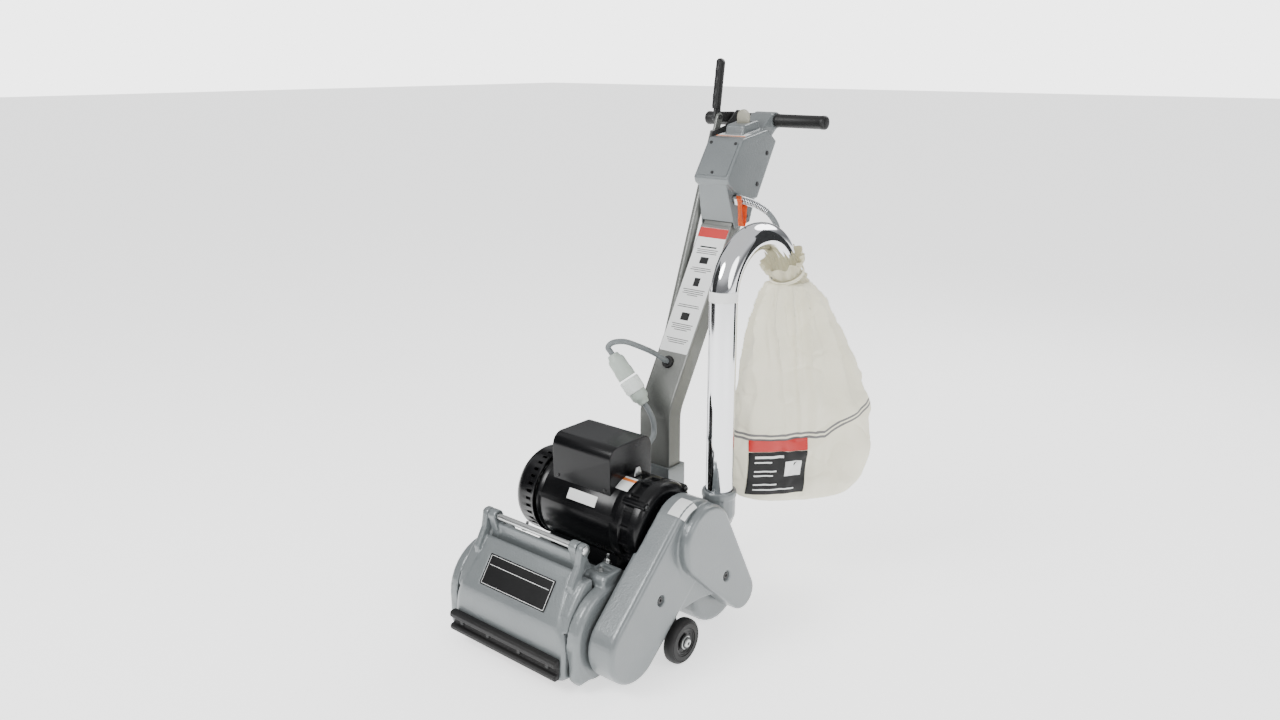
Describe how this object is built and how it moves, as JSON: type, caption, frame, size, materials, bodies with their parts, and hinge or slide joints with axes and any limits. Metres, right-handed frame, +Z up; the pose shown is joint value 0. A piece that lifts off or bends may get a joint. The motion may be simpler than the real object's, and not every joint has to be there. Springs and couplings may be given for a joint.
{
  "type": "floor drum sander",
  "caption": "Upright belt-driven floor drum sander with hinged front cover, side belt guard, motor, lift lever, dust pipe and cloth dust bag.",
  "frame": {"origin": "on the floor, centred under the machine's outline, hanging lead left out", "axes": "+X along the drum towards the belt guard, -Y to the front cover, +Z up"},
  "size_m": [0.578, 0.8094, 1.0526],
  "materials": {
    "enamel": "grey-blue hammered enamel",
    "post_enamel": "satin dark grey-green enamel",
    "black_enamel": "gloss black enamel",
    "dark_steel": "dark painted steel",
    "steel": "zinc-plated steel",
    "alloy": "machined alloy",
    "chrome": "bright chrome",
    "black_plastic": "matt black",
    "nameplate_black": "satin black plate with a pale border",
    "rubber": "black rubber",
    "grip": "black moulded grip",
    "tyre": "black tyre",
    "drum_rubber": "rubber drum facing",
    "abrasive": "brown coarse abrasive",
    "canvas": "unbleached canvas",
    "connector": "pale grey plastic",
    "cable": "grey cable sheath",
    "switch": "beige plastic"
  },
  "bodies": {
    "machine": {"belt_guard": "enamel", "blower_housing": "enamel", "cable_grommet": "rubber", "capacitor_cover": "black_enamel", "clamp_bolt_lower": "steel", "clamp_bolt_upper": "steel", "connector_plug": "connector", "connector_socket": "connector", "control_cable": "cable", "cover_rod": "steel", "drive_belt": "rubber", "drum_bearing_left": "steel", "drum_bearing_right": "steel", "dust_bag": "canvas", "dust_pipe": "chrome", "fan_belt": "rubber", "fan_cover": "black_enamel", "grip_left": "grip", "grip_right": "grip", "guard_screw_front": "steel", "guard_screw_rear": "steel", "handle_post": "post_enamel", "handlebar": "steel", "lever_bracket": "dark_steel", "lever_pivot_bolt": "steel", "motor_base": "black_enamel", "motor_cable": "cable", "motor_end_bell": "black_enamel", "motor_shell": "black_enamel", "outlet_duct": "enamel", "supply_cord": "cable", "supply_gland": "steel", "supply_plug": "connector", "switch_housing": "enamel", "truck_frame": "enamel"},
    "cover": {"front_cover": "enamel", "bumper": "rubber", "nameplate": "nameplate_black"},
    "drum": {"sanding_drum": "drum_rubber", "abrasive_sleeve": "abrasive", "drum_shaft": "steel", "drum_pulley": "alloy"},
    "motor_shaft": {"motor_rotor": "steel", "cooling_fan": "black_plastic", "motor_pulley": "alloy"},
    "blower_shaft": {"impeller": "alloy", "fan_pulley": "alloy"},
    "truck": {"wheel_truck": "dark_steel", "wheel_axle": "steel"},
    "wheel_left": {"wheel_hub_left": "black_plastic", "wheel_tyre_left": "tyre"},
    "wheel_right": {"wheel_hub_right": "black_plastic", "wheel_tyre_right": "tyre"},
    "caster": {"caster_fork": "steel"},
    "caster_roller": {"caster_wheel": "rubber"},
    "lever": {"lift_lever": "dark_steel", "lever_grip": "grip", "rod_clevis_pin": "steel"},
    "rod": {"lift_rod": "post_enamel"},
    "paddle": {"switch_paddle": "switch"}
  },
  "joints": [
    {"name": "cover_hinge", "type": "hinge", "parent": "machine", "child": "cover", "pos_m": [-0.043, -0.3114, 0.237], "axis": [-1, 0, 0], "range_deg": [0, 95]},
    {"name": "motor_spin", "type": "hinge", "parent": "machine", "child": "motor_shaft", "pos_m": [-0.043, -0.1388, 0.232], "axis": [1, 0, 0], "continuous": true},
    {"name": "drum_spin", "type": "hinge", "parent": "machine", "child": "drum", "pos_m": [-0.043, -0.2908, 0.086], "axis": [1, 0, 0], "continuous": true},
    {"name": "blower_spin", "type": "hinge", "parent": "machine", "child": "blower_shaft", "pos_m": [-0.043, -0.0058, 0.073], "axis": [1, 0, 0], "continuous": true},
    {"name": "lift_lever_hinge", "type": "hinge", "parent": "machine", "child": "lever", "pos_m": [-0.104, 0.3572, 0.927], "axis": [-1, 0, 0], "range_deg": [0, 40]},
    {"name": "lift_rod_hinge", "type": "hinge", "parent": "lever", "child": "rod", "pos_m": [-0.097, 0.2992, 0.929], "axis": [-1, 0, 0], "range_deg": [-39.1, 0]},
    {"name": "truck_hinge", "type": "hinge", "parent": "machine", "child": "truck", "pos_m": [-0.043, -0.2308, 0.112], "axis": [1, 0, 0], "range_deg": [0, 10.7]},
    {"name": "wheel_left_spin", "type": "hinge", "parent": "truck", "child": "wheel_left", "pos_m": [-0.272, -0.1758, 0.042], "axis": [1, 0, 0], "continuous": true},
    {"name": "wheel_right_spin", "type": "hinge", "parent": "truck", "child": "wheel_right", "pos_m": [0.186, -0.1758, 0.042], "axis": [1, 0, 0], "continuous": true},
    {"name": "caster_swivel", "type": "hinge", "parent": "machine", "child": "caster", "pos_m": [-0.043, 0.0272, 0.1], "axis": [0, 0, 1], "continuous": true},
    {"name": "caster_spin", "type": "hinge", "parent": "caster", "child": "caster_roller", "pos_m": [-0.043, 0.0512, 0.029], "axis": [1, 0, 0], "continuous": true},
    {"name": "switch_hinge", "type": "hinge", "parent": "machine", "child": "paddle", "pos_m": [-0.043, 0.3087, 0.912], "axis": [1, 0, 0], "range_deg": [-12, 12]}
  ],
  "couplings": [
    {"joint": "drum_spin", "follows": "motor_spin", "ratio": 1.1333},
    {"joint": "blower_spin", "follows": "motor_spin", "ratio": 1.3},
    {"joint": "lift_rod_hinge", "follows": "lift_lever_hinge", "ratio": -0.97637},
    {"joint": "truck_hinge", "follows": "lift_lever_hinge", "ratio": 0.26675}
  ]
}
